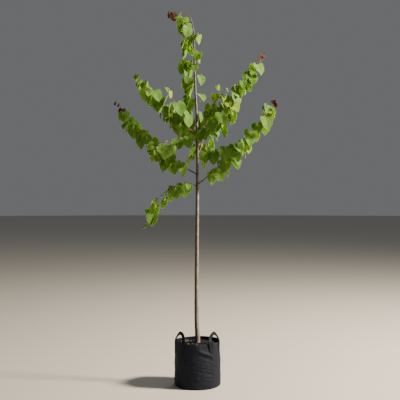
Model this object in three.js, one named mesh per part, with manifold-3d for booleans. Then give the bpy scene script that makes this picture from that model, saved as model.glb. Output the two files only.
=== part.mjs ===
// A young heart-leaved tree standing on its root ball in a black fabric bag with two strap handles.
// Millimetres, +Z up. The origin is the centre of the bag's flat underside, and the front is towards -Y.
// Bearings are degrees from +X towards +Y, and rises are degrees above level.
import * as THREE from "three";
import { mergeVertices } from "three/addons/utils/BufferGeometryUtils.js";
import Module from "manifold-3d";

const wasm = await Module();
wasm.setup();

// ---- driving dimensions -----------------------------------------------------------------------

const SEAT_GAP = 0.3; // between pieces that bear on each other

const BAG = {
  radius: 180, // halfway up
  footRadius: 165, // of the flat underside
  rimRadius: 172,
  height: 345,
  wall: 3,
  hemDepth: 24, // the doubled band under the rim
  hemWall: 1.2, // how far that band stands out
  footRound: 13, // height of the rounded bottom edge
  segments: 32,
};
const DENT = { bearing: 288, halfWidth: 17, depth: 13, ridge: 272 }; // where the rim leans in
const SOIL = { top: 325, edgeDrop: 7, flat: 45, lump: 4, gap: 0.9, dentSpare: 0.8 };
const STRAP = {
  width: 28,
  thick: 3,
  span: 120, // between the middles of its two legs, round the bag
  toeIn: 10, // how much nearer each leg's foot is to the middle
  sewnDepth: 92, // of a leg below the rim
  loopRise: 71, // of the loop's middle line above the rim
  lean: -20, // outwards, of the loop's top: it falls in over the soil
  twist: 12, // of the loop's top, in degrees
  offset: 0.5, // from the hem
};
const HANDLES = { handle_left: 213, handle_right: 325 };

const TRUNK = {
  sides: 8,
  footRadius: 18.5,
  tipRadius: 3,
  taper: 0.85, // under 1 keeps the upper stem stout
  flare: 2.5,
  flareHeight: 45,
};
// The trunk's lean: height above the soil, then how far its centre stands to the right and to the back.
const TRUNK_LEAN = [
  [0, 0, 0],
  [40, 0, 0],
  [180, -6, 3],
  [720, -5, 9],
  [1370, 0, 2],
  [1760, -6, -6],
  [1990, -17, -2],
  [2280, -24, 5],
  [2430, -30, 3],
  [2500, -42, 0],
  [2540, -57, -2],
];

const INTERNODE = 44; // from one leaf joint of a bough to the next
const ZIGZAG = 2.6; // how far each joint stands off the line of the shoot
const BOUGH_SIDES = 6;
const BOUGH_TIP = 1.7; // radius where a bough's last leaf grows

// Each bough: its foot's height above the soil, its bearing and rise there, how much the rise and
// the bearing change by the tip, its leaf joints, how many of them are bare, and its foot's radius.
const BOUGHS = {
  low_left: { foot: 1213, bearing: 205, rise: 14, lift: -90, sweep: 4, joints: 12, bare: 1, radius: 4.2 },
  low_right: { foot: 1223, bearing: 345, rise: 37, lift: 18, sweep: -4, joints: 20, bare: 2, radius: 5.6 },
  lower_left: { foot: 1307, bearing: 168, rise: 27, lift: 29, sweep: 1, joints: 20, bare: 2, radius: 5.4 },
  back_low: { foot: 1395, bearing: 88, rise: 34, lift: -10, sweep: -8, joints: 9, bare: 1, radius: 3.8 },
  front_low: { foot: 1430, bearing: 330, rise: 25, lift: -20, sweep: 6, joints: 9, bare: 1, radius: 3.4 },
  back_right: { foot: 1440, bearing: 75, rise: 40, lift: -20, sweep: 9, joints: 10, bare: 2, radius: 4.2 },
  front_right: { foot: 1535, bearing: 309, rise: 37, lift: -10, sweep: -5, joints: 12, bare: 2, radius: 4.4 },
  front_left: { foot: 1560, bearing: 217, rise: 14, lift: -52, sweep: 4, joints: 10, bare: 1, radius: 3.8 },
  upper_right: { foot: 1565, bearing: 14, rise: 49, lift: 8, sweep: 0, joints: 20, bare: 2, radius: 5.2 },
  back_left: { foot: 1590, bearing: 123, rise: 30, lift: 12, sweep: 0, joints: 11, bare: 1, radius: 4.2 },
  upper_left: { foot: 1607, bearing: 198, rise: 38, lift: 9, sweep: 0, joints: 15, bare: 1, radius: 4.8 },
  high_right: { foot: 1640, bearing: 54, rise: 38, lift: 22, sweep: 0, joints: 12, bare: 2, radius: 3.9 },
  high_left: { foot: 1690, bearing: 230, rise: 24, lift: 22, sweep: -4, joints: 10, bare: 1, radius: 3.6 },
};
// The seed of each bough's foliage.
const FOLIAGE_SEEDS = {
  low_left: 574, low_right: 328, lower_left: 86, back_low: 139, front_low: 118, back_right: 72,
  front_right: 118, front_left: 37, upper_right: 836, back_left: 43, upper_left: 500,
  high_right: 136, high_left: 136,
};
// Short spurs up the leader.
const SPURS = {
  from: 1745,
  to: 2500,
  ranks: [180, 0, 195], // bearings that they take by turns
  jointRanks: [3, 1, 2], // and their leaf joints
  sway: 60, // spread of each rank
  rise: 5,
  internode: 24,
  radius: 2.2,
  // one a spur
  seeds: [
    180, 137, 230, 523, 288, 490, 474, 207,
    447, 284, 311, 62, 159, 597, 370, 208,
  ],
};
const LEADER_TIP = { bearing: 176, rise: 45, lift: -60, joints: 4, radius: 2.4, seed: 335 };

const TWIG = { sides: 4, internode: 36, joints: 3, radius: 1.9, share: 0.12 }; // share of the joints
const CLEAR = 1; // that twigs and leaves keep from the limbs and from the next mass
// How small the last leaf of a shoot is, as a share. Shoots that have stopped growing end in large ones.
const YOUNGEST = { growing: 0.45, twig: 0.6, drooping: 0.8, spur: 0.9 };

const PETIOLE = { length: 46, footRadius: 0.75, radius: 1 };
const LEAF = {
  length: 96, // from the notch to the tip
  thick: 1.6,
  centre: 0.36, // share of the length at which the blade is thickest
  fold: 0.24, // how steeply each half rises from the midrib
  curl: 0.16, // how far the tip bends back
  youngJoints: 3, // joints at a shoot's end whose leaves are still small
  outline: [0, 35, 75, 118, -118, -75, -35], // degrees round the notch from the midrib
};

const COLOUR = {
  bag: 0x17181a,
  strap: 0x1b1c1e,
  soil: 0x2b2119,
  bark: 0x75685a,
  bough: 0x5d4a3c,
  leaf: 0x47792c,
};

// ---- small tools ------------------------------------------------------------------------------

const UP = new THREE.Vector3(0, 0, 1);
const GOLDEN = 0.618; // steps of this share of a range never fall into rows
const radians = THREE.MathUtils.degToRad;
const smooth = (t) => THREE.MathUtils.smoothstep(t, 0, 1);

/** A direction from its bearing and rise. */
function heading(bearing, rise) {
  const level = Math.cos(radians(rise));
  const [x, y] = [level * Math.cos(radians(bearing)), level * Math.sin(radians(bearing))];
  return new THREE.Vector3(x, y, Math.sin(radians(rise)));
}

/** A repeatable run of numbers from 0 to 1. */
function seeded(seed) {
  let state = seed * 1000003;
  return () => {
    state = (state * 16807) % 2147483647;
    return state / 2147483647;
  };
}

/** A closed skin over equal rings of points, each ring turning anticlockwise about the way it is stacked. */
function loft(rings) {
  const sides = rings[0].length;
  const last = (rings.length - 1) * sides;
  const index = [];
  for (let ring = 0; ring < last; ring += sides) {
    for (let side = 0; side < sides; side++) {
      const next = (side + 1) % sides;
      const [here, beside, above] = [ring + side, ring + next, ring + next + sides];
      index.push(here, beside, above, here, above, here + sides);
    }
  }
  for (let side = 1; side + 1 < sides; side++) {
    index.push(0, side + 1, side, last, last + side, last + side + 1);
  }
  return new THREE.BufferGeometry().setFromPoints(rings.flat()).setIndex(index);
}

/**
 * A tapering limb through points, with a radius at each: a cylinder with its rings moved on to the line.
 * Spare is the room left round it for what it meets.
 */
function limb(points, radii, sides, spare = 0) {
  const last = points.length - 1;
  const geometry = new THREE.CylinderGeometry(1, 1, last, sides, last).translate(0, last / 2, 0);
  const across = Math.abs(tangentAt(points, 0).x) < 0.85 ? new THREE.Vector3(1, 0, 0) : UP;
  const frames = [];
  points.forEach((point, j) => {
    const tangent = tangentAt(points, j);
    const normal = (frames.at(-1)?.normal ?? across).clone();
    normal.addScaledVector(tangent, -normal.dot(tangent)).normalize();
    const end = j === 0 ? -spare : j === last ? spare : 0;
    const centre = point.clone().addScaledVector(tangent, end);
    frames.push({ centre, normal, other: normal.clone().cross(tangent), radius: radii[j] + spare });
  });
  const place = geometry.attributes.position;
  const moved = new THREE.Vector3();
  for (let v = 0; v < place.count; v++) {
    const { centre, normal, other, radius } = frames[Math.round(place.getY(v))];
    moved.copy(centre).addScaledVector(normal, radius * place.getX(v));
    moved.addScaledVector(other, radius * place.getZ(v));
    place.setXYZ(v, ...moved);
  }
  return geometry;
}

function tangentAt(points, j) {
  const before = points[Math.max(0, j - 1)];
  const after = points[Math.min(points.length - 1, j + 1)];
  return after.clone().sub(before).normalize();
}

/** A closed geometry as an exact solid that can be cut and joined. */
function solidOf(geometry) {
  const bare = new THREE.BufferGeometry().setAttribute("position", geometry.getAttribute("position"));
  bare.setIndex(geometry.index);
  const merged = mergeVertices(bare, 1e-4);
  const mesh = new wasm.Mesh({
    numProp: 3,
    vertProperties: merged.attributes.position.array,
    triVerts: new Uint32Array(merged.index.array),
  });
  return new wasm.Manifold(mesh);
}

function geometryOf(solid) {
  const { numProp, numVert, vertProperties, triVerts } = solid.getMesh();
  const places = new Float32Array(numVert * 3);
  for (let v = 0; v < numVert; v++) places.set(vertProperties.subarray(v * numProp, v * numProp + 3), v * 3);
  const geometry = new THREE.BufferGeometry().setAttribute("position", new THREE.BufferAttribute(places, 3));
  return geometry.setIndex(new THREE.BufferAttribute(new Uint32Array(triVerts), 1));
}

function named(name, geometry, material) {
  const mesh = new THREE.Mesh(geometry, material);
  mesh.name = name;
  return mesh;
}

const finish = (color, roughness) => new THREE.MeshStandardMaterial({ color, roughness, metalness: 0 });

// ---- bag, root ball and handles ---------------------------------------------------------------

/** How far the loose stretch of rim leans in at a bearing, in radians, and a height. */
function dent(angle, height, spare) {
  const turn = THREE.MathUtils.radToDeg(angle) - DENT.bearing;
  const off = THREE.MathUtils.euclideanModulo(turn + 180, 360) - 180;
  const above = Math.max(0, (height - DENT.ridge) / (BAG.height - DENT.ridge));
  const across = 1 - smooth(Math.abs(off) / (DENT.halfWidth * (1 + spare)));
  return DENT.depth * (1 + spare) * above * across;
}

/** How far the filled bag's wall stands off the true round. */
function slack(angle, height, spare = 0) {
  const rising = height / BAG.height;
  const oval = 2.2 * Math.cos(2 * angle - 0.7) * smooth(rising * 4);
  const sway = 1.3 * Math.sin(3 * angle + 5 * rising) * smooth(rising * 3);
  return oval + sway - dent(angle, height, spare);
}

/** The wall's outer radius before its slack. */
function wallRadius(height) {
  const share = height / BAG.height;
  const belly = BAG.radius - (BAG.radius - BAG.rimRadius) * share * share;
  const foot = THREE.MathUtils.clamp(height / BAG.footRound, 0, 1);
  return BAG.footRadius + (belly - BAG.footRadius) * Math.sqrt(1 - (1 - foot) ** 2);
}

/** Turns a profile of (radius, height) points about the bag's axis and lets the slack into it. */
function turned(profile, lift = () => 0, spare = 0) {
  const geometry = new THREE.LatheGeometry(
    profile.map(([radius, height]) => new THREE.Vector2(radius, height)),
    BAG.segments,
  ).rotateX(Math.PI / 2);
  const place = geometry.attributes.position;
  for (let v = 0; v < place.count; v++) {
    const [x, y, z] = [place.getX(v), place.getY(v), place.getZ(v)];
    const radius = Math.hypot(x, y);
    const angle = Math.atan2(y, x);
    const share = radius / wallRadius(z);
    const shifted = radius + slack(angle, z, spare) * Math.min(1, share * share);
    const grow = radius > 0 ? shifted / radius : 1;
    place.setXYZ(v, x * grow, y * grow, z + lift(radius, angle, z));
  }
  return geometry;
}

function bag() {
  const { footRadius, footRound, height, wall, hemDepth, hemWall, rimRadius } = BAG;
  const steps = [footRound * 0.3, footRound, 90, 180, DENT.ridge];
  const outside = steps.map((z) => [wallRadius(z), z]);
  const hemFoot = height - hemDepth;
  const hem = [
    [wallRadius(hemFoot), hemFoot],
    [wallRadius(hemFoot) + hemWall, hemFoot + 1],
    [rimRadius + hemWall, height - 1],
    [rimRadius, height],
    [rimRadius - wall, height - 1],
  ];
  const inside = [...steps].reverse().map((z) => [wallRadius(z) - wall, z + (z < footRound ? wall : 0)]);
  const underside = [[0, 0], [footRadius, 0]];
  const floor = [[footRadius - wall, wall], [0, wall]];
  return turned([...underside, ...outside, ...hem, ...inside, ...floor]);
}

function rootBall() {
  const { top, edgeDrop, flat, lump, gap } = SOIL;
  const inset = BAG.wall + gap;
  const steps = [BAG.footRound, 90, 180, DENT.ridge, top - edgeDrop];
  const side = steps.map((z) => [wallRadius(z) - inset, z]);
  const [edge] = side.at(-1);
  const surface = [0.85, 0.6].map((share) => [edge * share, top - edgeDrop * share * share]);
  // Lumps in the soil die away towards the flat seat under the trunk and at the wall.
  const lumps = (radius, angle, z) => {
    const free = z < top / 2 ? 0 : smooth((radius - flat) / flat) * smooth((edge - radius) / 12);
    return lump * free * Math.sin(5 * angle + radius / 17) * Math.cos(3 * angle - radius / 23);
  };
  const underside = [[0, inset], [BAG.footRadius - inset - 1, inset]];
  const seat = [[flat, top], [0, top]];
  return turned([...underside, ...side, ...surface, ...seat], lumps, SOIL.dentSpare);
}

/** A strap sewn up the wall, over in a loop above the rim and down again, for a bearing in degrees. */
function handle(bearing) {
  const { width, thick, span, toeIn, loopRise, sewnDepth, lean, twist, offset } = STRAP;
  const { height, hemDepth, hemWall, radius: round } = BAG;
  const foot = height - sewnDepth;
  const leg = [foot, foot + 34, height - hemDepth, height - 8];
  const half = span / 2;
  const legs = leg.map((z) => [-half + toeIn * (1 - (z - foot) / sewnDepth), z]);
  const steps = 12;
  const arc = Array.from({ length: steps + 1 }, (_, j) => {
    const turn = (Math.PI * j) / steps;
    return [-half * Math.cos(turn), height + loopRise * Math.sin(turn)];
  });
  const line = [...legs, ...arc, ...legs.map(([along, z]) => [-along, z]).reverse()];
  const centres = line.map(([along, z]) => {
    const angle = along / round + radians(bearing);
    const level = Math.min(z, height);
    const loose = lean * smooth((z - height) / loopRise);
    const radius = wallRadius(level) + hemWall + offset + loose + slack(angle, level) + thick / 2;
    return new THREE.Vector3(radius * Math.cos(angle), radius * Math.sin(angle), z);
  });
  const rings = centres.map((centre, j) => {
    const tangent = tangentAt(centres, j);
    const out = new THREE.Vector3(centre.x, centre.y, 0).normalize();
    out.addScaledVector(tangent, -out.dot(tangent)).normalize();
    const flat = tangent.clone().cross(out);
    const turn = radians(twist) * smooth((centre.z - height) / loopRise);
    const wide = flat.multiplyScalar(Math.cos(turn)).addScaledVector(out, Math.sin(turn));
    wide.setLength(width / 2);
    const deep = wide.clone().cross(tangent).setLength(thick / 2);
    const corners = [
      [-1, -1],
      [-1, 1],
      [1, 1],
      [1, -1],
    ];
    return corners.map(([w, d]) => centre.clone().addScaledVector(wide, w).addScaledVector(deep, d));
  });
  return loft(rings);
}

// ---- trunk and boughs -------------------------------------------------------------------------

const trunkLine = new THREE.CatmullRomCurve3(
  TRUNK_LEAN.map(([z, right, back]) => new THREE.Vector3(right, back, z)),
);
const TRUNK_HEIGHT = TRUNK_LEAN.at(-1)[0];

/** The trunk's centre at a height above the soil. */
function trunkCentre(height) {
  const lean = TRUNK_LEAN;
  const after = Math.max(1, lean.findIndex(([z]) => z >= height));
  const [low, high] = [lean[after - 1], lean[after]];
  const share = (height - low[0]) / (high[0] - low[0]);
  return trunkLine.getPoint((after - 1 + share) / (lean.length - 1));
}

function trunkRadius(height) {
  const { footRadius, tipRadius, taper, flare, flareHeight } = TRUNK;
  const left = Math.max(0, 1 - height / TRUNK_HEIGHT);
  return tipRadius + (footRadius - tipRadius) * left ** taper + flare * Math.exp(-height / flareHeight);
}

function trunk(spare) {
  const heights = [0, 12, 30, 60, 110];
  for (let z = 180; z < 2280; z += 150) heights.push(z);
  heights.push(2280, 2360, 2430, 2470, 2500, TRUNK_HEIGHT);
  return limb(heights.map(trunkCentre), heights.map(trunkRadius), TRUNK.sides, spare);
}

/** The points of a shoot, one a joint, from its foot. */
function shootPoints(foot, { bearing, rise, lift = 0, sweep = 0, joints }, internode) {
  const points = [foot.clone()];
  for (let j = 0; j < joints; j++) {
    const share = (j + 0.5) / joints;
    const way = heading(bearing + sweep * share, rise + lift * share);
    points.push(points[j].clone().addScaledVector(way, internode));
  }
  return points;
}

const sideOf = (tangent) => tangent.clone().cross(UP).normalize();

/** Sets each joint after the bare ones to the left and right of the line by turns. */
function zigzag(points, bare) {
  const sides = points.map((_, j) => sideOf(tangentAt(points, j)));
  for (let j = bare + 1; j + 1 < points.length; j++) {
    points[j].addScaledVector(sides[j], j % 2 ? ZIGZAG : -ZIGZAG);
  }
}

const taperedRadii = (count, foot, tip) =>
  Array.from({ length: count }, (_, j) => THREE.MathUtils.lerp(foot, tip, j / (count - 1)));

// ---- foliage ----------------------------------------------------------------------------------

/** The heart outline: how far the blade reaches from its notch at a turn, in radians, from the midrib. */
function heartReach(turn) {
  const drip = 0.14 * Math.exp(-((turn / 0.2) ** 2));
  return 0.47 + 0.34 * Math.cos(turn) - 0.02 * Math.cos(2 * turn) + 0.07 * Math.cos(3 * turn) + drip;
}

/** A leaf's frame: where its stalk starts and its notch is, its midrib and the way it faces. */
function hangLeaf(foot, tangent, side, size, random) {
  const stray = () => new THREE.Vector3(random() - 0.5, random() - 0.5, random() - 0.5);
  const out = sideOf(tangent).multiplyScalar(side);
  const away = new THREE.Vector3(foot.x, foot.y, 0).normalize();
  const blend = (tangentShare, outShare, upShare, awayShare, strayShare) =>
    tangent
      .clone()
      .multiplyScalar(tangentShare)
      .addScaledVector(out, outShare)
      .addScaledVector(UP, upShare)
      .addScaledVector(away, awayShare)
      .addScaledVector(stray(), strayShare);
  const stalk = blend(0.3, 1, -0.3, 0, 0.8).normalize();
  const reach = PETIOLE.length * (0.6 + 0.4 * size) * (0.8 + 0.4 * random());
  const notch = foot.clone().addScaledVector(stalk, reach);
  const along = blend(0.1, 0.35, -1, 0.1, 0.8).normalize();
  const facing = blend(0, 0.6, 0.5, 0.4, 1);
  facing.addScaledVector(along, -facing.dot(along)).normalize();
  if (facing.dot(stalk) < 0) facing.negate();
  return { foot, notch, along, facing, length: LEAF.length * size };
}

/** A side twig's points, from a joint of a shoot and away from the joint's leaf. */
function twigPoints(foot, tangent, side) {
  const way = tangent.clone().multiplyScalar(0.7);
  way.addScaledVector(sideOf(tangent), -side * 0.8).addScaledVector(UP, 0.15).normalize();
  const steps = Array.from({ length: TWIG.joints + 1 }, (_, j) => j * TWIG.internode);
  return steps.map((step) => foot.clone().addScaledVector(way, step));
}

/** A shoot with a leaf at each joint, and after it its side twigs, which grow by the same rule. */
function grow(points, radius, youngest, random, isTwig = false) {
  const shoot = { points, radii: taperedRadii(points.length, radius, BOUGH_TIP), leaves: [] };
  const grown = [shoot];
  const last = points.length - 1;
  for (let j = 1; j <= last; j++) {
    const tangent = tangentAt(points, j);
    const side = j % 2 ? 1 : -1;
    const young = Math.min(1, youngest + ((1 - youngest) * (last - j)) / LEAF.youngJoints);
    const size = (0.85 + 0.3 * random()) * young;
    const below = (share) => points[j].clone().lerp(points[j - 1], share);
    shoot.leaves.push(hangLeaf(below(0.06), tangent, side, size, random));
    if (j === last) shoot.leaves.push(hangLeaf(below(0.2), tangent, -side, size * 0.85, random));
    if (!isTwig && random() < TWIG.share && j < last - 2) {
      grown.push(...grow(twigPoints(points[j], tangent, side), TWIG.radius, YOUNGEST.twig, random, true));
    }
  }
  return grown;
}

/** One leaf in a single skin: a heart-shaped blade, thickest on its midrib, with a three-sided stalk. */
function leafSolid({ foot, notch, along, facing, length }, spare = 0) {
  const across = along.clone().cross(facing);
  const onBlade = (right, forward, proud = 0) => {
    const bend = LEAF.fold * Math.abs(right) - LEAF.curl * forward * forward;
    return notch
      .clone()
      .addScaledVector(across, right * length)
      .addScaledVector(along, forward * length)
      .addScaledVector(facing, bend * length + proud);
  };
  const rim = LEAF.outline.map((turn) => {
    const reach = heartReach(radians(turn)) + spare / length;
    return onBlade(reach * Math.sin(radians(turn)), reach * Math.cos(radians(turn)));
  });
  const stalk = notch.clone().sub(foot).normalize();
  const ring = (centre, way, radius) => {
    const wide = across.clone().addScaledVector(way, -across.dot(way)).normalize();
    const deep = wide.clone().cross(way);
    return [
      centre.clone().addScaledVector(wide, -radius),
      centre.clone().addScaledVector(wide, radius),
      centre.clone().addScaledVector(deep, -1.4 * radius),
    ];
  };
  const bend = stalk.clone().add(along).normalize();
  const stalkFoot = ring(foot, stalk, PETIOLE.footRadius + spare);
  const stalkEnd = ring(notch, bend, PETIOLE.radius + spare);
  const proud = LEAF.thick / 2 + spare;
  const [top, under] = [onBlade(0, LEAF.centre, proud), onBlade(0, LEAF.centre, -proud)];
  const places = [...stalkFoot, ...stalkEnd, top, under, ...rim];
  const index = [0, 2, 1];
  for (let side = 0; side < 3; side++) {
    const next = (side + 1) % 3;
    index.push(side, next, next + 3, side, next + 3, side + 3);
  }
  // The rim runs from the tip up the right edge, past the stalk and down the left edge.
  const [atTop, atUnder, first] = [6, 7, 8];
  const half = (rim.length + 1) / 2;
  const right = rim.slice(0, half).map((_, j) => first + j);
  const left = rim.slice(half).map((_, j) => first + half + j);
  const fan = (centre, edge, over) => {
    edge.forEach((here, j) => {
      const next = edge[(j + 1) % edge.length];
      index.push(centre, ...(over ? [next, here] : [here, next]));
    });
  };
  fan(atTop, [...right, 4, 3, ...left], true);
  fan(atUnder, [...right, 4, 5, 3, ...left], false);
  return solidOf(new THREE.BufferGeometry().setFromPoints(places).setIndex(index));
}

// ---- assembly ---------------------------------------------------------------------------------

const MATERIAL = {
  bag: finish(COLOUR.bag, 0.85),
  strap: finish(COLOUR.strap, 0.8),
  soil: finish(COLOUR.soil, 0.95),
  bark: finish(COLOUR.bark, 0.85),
  bough: finish(COLOUR.bough, 0.8),
  leaf: finish(COLOUR.leaf, 0.6),
};

const tree = new THREE.Group();
const container = new THREE.Group();
const plant = new THREE.Group();
plant.position.z = SOIL.top + SEAT_GAP;
tree.add(container, plant);

container.add(named("bag", bag(), MATERIAL.bag), named("root_ball", rootBall(), MATERIAL.soil));
for (const [name, bearing] of Object.entries(HANDLES)) {
  container.add(named(name, handle(bearing), MATERIAL.strap));
}

const trunkRoom = solidOf(trunk(SEAT_GAP));
const limbs = [trunkRoom]; // what no leaf may touch
const shoots = []; // what still has to grow its foliage
plant.add(named("trunk", trunk(0), MATERIAL.bark));

for (const [name, form] of Object.entries(BOUGHS)) {
  const points = shootPoints(trunkCentre(form.foot), form, INTERNODE);
  zigzag(points, form.bare);
  const radii = taperedRadii(points.length, form.radius, BOUGH_TIP);
  const bare = form.bare + 1;
  const wood = (spare) => solidOf(limb(points.slice(0, bare), radii.slice(0, bare), BOUGH_SIDES, spare));
  const seated = wood(0).subtract(trunkRoom);
  limbs.push(seated);
  plant.add(named(`bough_${name}`, geometryOf(seated), MATERIAL.bough));
  const seat = trunkRoom.add(wood(SEAT_GAP));
  shoots.push({
    name: `foliage_${name}`,
    points: points.slice(form.bare),
    radius: 0.85 * radii[form.bare],
    youngest: form.lift < -60 ? YOUNGEST.drooping : YOUNGEST.growing,
    seed: FOLIAGE_SEEDS[name],
    seat,
  });
}

for (const [nth, seed] of SPURS.seeds.entries()) {
  const height = THREE.MathUtils.lerp(SPURS.from, SPURS.to, nth / (SPURS.seeds.length - 1));
  const rank = nth % SPURS.ranks.length;
  const bearing = SPURS.ranks[rank] + SPURS.sway * (((nth * GOLDEN) % 1) - 0.5);
  const form = { bearing, rise: SPURS.rise, joints: SPURS.jointRanks[rank] };
  shoots.push({
    name: `spur_${nth + 1}`,
    points: shootPoints(trunkCentre(height), form, SPURS.internode),
    radius: SPURS.radius,
    youngest: YOUNGEST.spur,
    seed,
    seat: trunkRoom,
  });
}

shoots.push({
  name: "foliage_leader",
  points: shootPoints(trunkCentre(TRUNK_HEIGHT), LEADER_TIP, INTERNODE),
  radius: LEADER_TIP.radius,
  youngest: YOUNGEST.growing,
  seed: LEADER_TIP.seed,
  seat: trunkRoom,
});

const meets = (solid, others) => others.some((other) => solid.intersect(other).volume() > 0);
const masses = [];
// Every shoot's own stem keeps its place, so what grows before it stays clear of it.
const stems = shoots.map(({ points, radius }) => {
  const radii = taperedRadii(points.length, radius, BOUGH_TIP);
  return solidOf(limb(points, radii, TWIG.sides, CLEAR));
});

for (const [nth, { name, points, radius, youngest, seed, seat }] of shoots.entries()) {
  const others = [...limbs, ...masses, ...stems.slice(nth + 1)];
  let mass = null;
  for (const shoot of grow(points, radius, youngest, seeded(seed))) {
    const wood = (spare) => solidOf(limb(shoot.points, shoot.radii, TWIG.sides, spare));
    if (mass && meets(wood(CLEAR), others)) continue;
    mass = mass ? mass.add(wood(0)) : wood(0).subtract(seat);
    for (const leaf of shoot.leaves) {
      // The shoot holds the first stretch of the stalk, so only the rest has to miss the mass so far.
      const free = { ...leaf, foot: leaf.foot.clone().lerp(leaf.notch, 0.3) };
      if (meets(leafSolid(leaf, CLEAR), others) || meets(leafSolid(free, CLEAR), [mass])) continue;
      mass = mass.add(leafSolid(leaf));
    }
  }
  masses.push(mass);
  plant.add(named(name, geometryOf(mass), MATERIAL.leaf));
}

export default tree;
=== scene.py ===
"""The looks of a young heart-leaved tree on its root ball, in a black fabric bag.

Sizes are millimetres and degrees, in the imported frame: the origin is the centre of the bag's underside,
the front is towards -Y and bearings turn from +X towards +Y. Meshes are written in metres.
"""
import math
from collections import namedtuple

import bmesh
import bpy
from mathutils import Matrix, Vector, noise


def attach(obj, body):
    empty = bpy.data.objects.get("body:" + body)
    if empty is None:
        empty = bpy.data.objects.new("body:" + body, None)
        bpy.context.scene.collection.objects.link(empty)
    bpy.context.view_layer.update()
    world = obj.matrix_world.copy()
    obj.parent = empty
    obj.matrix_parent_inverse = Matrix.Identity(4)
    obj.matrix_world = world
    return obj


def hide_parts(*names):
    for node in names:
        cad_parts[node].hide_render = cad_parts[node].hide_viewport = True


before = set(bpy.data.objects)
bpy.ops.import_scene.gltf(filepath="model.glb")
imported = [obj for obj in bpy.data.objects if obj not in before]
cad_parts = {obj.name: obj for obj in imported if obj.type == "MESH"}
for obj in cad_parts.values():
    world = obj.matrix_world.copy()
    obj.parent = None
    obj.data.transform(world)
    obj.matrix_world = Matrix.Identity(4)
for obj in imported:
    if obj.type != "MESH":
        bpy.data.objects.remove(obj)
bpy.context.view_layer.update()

bl_info = {
    "name": "Tree on its root ball",
    "version": (1, 0, 0),
    "blender": (4, 5, 0),
    "location": "3D View > Sidebar > Tree",
    "description": "Bark, twigs, leaves, fabric bag and compost of a young tree",
    "category": "Object",
}

# ---- sizes shared with the solids -------------------------------------------------------------

MM = 0.001
UP = Vector((0, 0, 1))
SEAT_GAP = 0.3
FINE_SEED, LOOKS_SEED = 155, 217
SOIL_TOP = 325
SOIL_EDGE_DROP = 7
SOIL_FLAT = 45
BAG_RADIUS, BAG_FOOT, BAG_RIM = 180, 165, 172
BAG_HEIGHT, BAG_WALL, BAG_ROUND = 345, 3, 13
HEM_DEPTH, HEM_WALL = 24, 1.2
STRAP_WIDTH, STRAP_THICK, STRAP_SPAN, STRAP_TOE_IN = 28, 2.6, 120, 10
STRAP_SEWN, STRAP_RISE, STRAP_LEAN, STRAP_TWIST, STRAP_OFFSET = 92, 71, -20, 12, 0.5
HANDLES = {"left": 213, "right": 325}  # bearings

TRUNK_FOOT, TRUNK_TIP, TRUNK_TAPER, FLARE, FLARE_HEIGHT = 18.5, 3, 0.85, 2.5, 45
TRUNK_LEAN = [
    Vector(point)
    for point in (
        (0, 0, 0),
        (0, 0, 40),
        (-6, 3, 180),
        (-5, 9, 720),
        (0, 2, 1370),
        (-6, -6, 1760),
        (-17, -2, 1990),
        (-24, 5, 2280),
        (-30, 3, 2430),
        (-42, 0, 2500),
        (-57, -2, 2540),
    )
]
TRUNK_HEIGHT = TRUNK_LEAN[-1].z

INTERNODE, ZIGZAG, BOUGH_TIP = 44, 2.6, 1.7
Bough = namedtuple("Bough", "foot bearing rise lift sweep joints bare radius seed")
BOUGHS = {
    "low_left": Bough(1213, 205, 14, -90, 4, 12, 1, 4.2, 574),
    "low_right": Bough(1223, 345, 37, 18, -4, 20, 2, 5.6, 328),
    "lower_left": Bough(1307, 168, 27, 29, 1, 20, 2, 5.4, 86),
    "back_low": Bough(1395, 88, 34, -10, -8, 9, 1, 3.8, 139),
    "front_low": Bough(1430, 330, 25, -20, 6, 9, 1, 3.4, 118),
    "back_right": Bough(1440, 75, 40, -20, 9, 10, 2, 4.2, 72),
    "front_right": Bough(1535, 309, 37, -10, -5, 12, 2, 4.4, 118),
    "front_left": Bough(1560, 217, 14, -52, 4, 10, 1, 3.8, 37),
    "upper_right": Bough(1565, 14, 49, 8, 0, 20, 2, 5.2, 836),
    "back_left": Bough(1590, 123, 30, 12, 0, 11, 1, 4.2, 43),
    "upper_left": Bough(1607, 198, 38, 9, 0, 15, 1, 4.8, 500),
    "high_right": Bough(1640, 54, 38, 22, 0, 12, 2, 3.9, 136),
    "high_left": Bough(1690, 230, 24, 22, -4, 10, 1, 3.6, 136),
}
SPUR_FROM, SPUR_TO, SPUR_SWAY, SPUR_RISE, SPUR_INTERNODE, SPUR_RADIUS = 1745, 2500, 60, 5, 24, 2.2
SPUR_RANKS = ((180, 3), (0, 1), (195, 2))  # bearing and leaf joints, by turns
SPUR_SEEDS = (180, 137, 230, 523, 288, 490, 474, 207, 447, 284, 311, 62, 159, 597, 370, 208)
LEADER = Bough(TRUNK_HEIGHT, 176, 45, -60, 0, 4, 0, 2.4, 335)
TWIG_INTERNODE, TWIG_JOINTS, TWIG_RADIUS, TWIG_SHARE = 36, 3, 1.9, 0.12
YOUNGEST = {"growing": 0.45, "twig": 0.6, "drooping": 0.8, "spur": 0.9}  # a tip leaf's share of full size
YOUNG_JOINTS = 3
PETIOLE = 46
LEAF_LENGTH, LEAF_FOLD, LEAF_CURL = 96, 0.24, 0.16
GOLDEN = 0.618

# ---- sizes that only the looks have -----------------------------------------------------------

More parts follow.
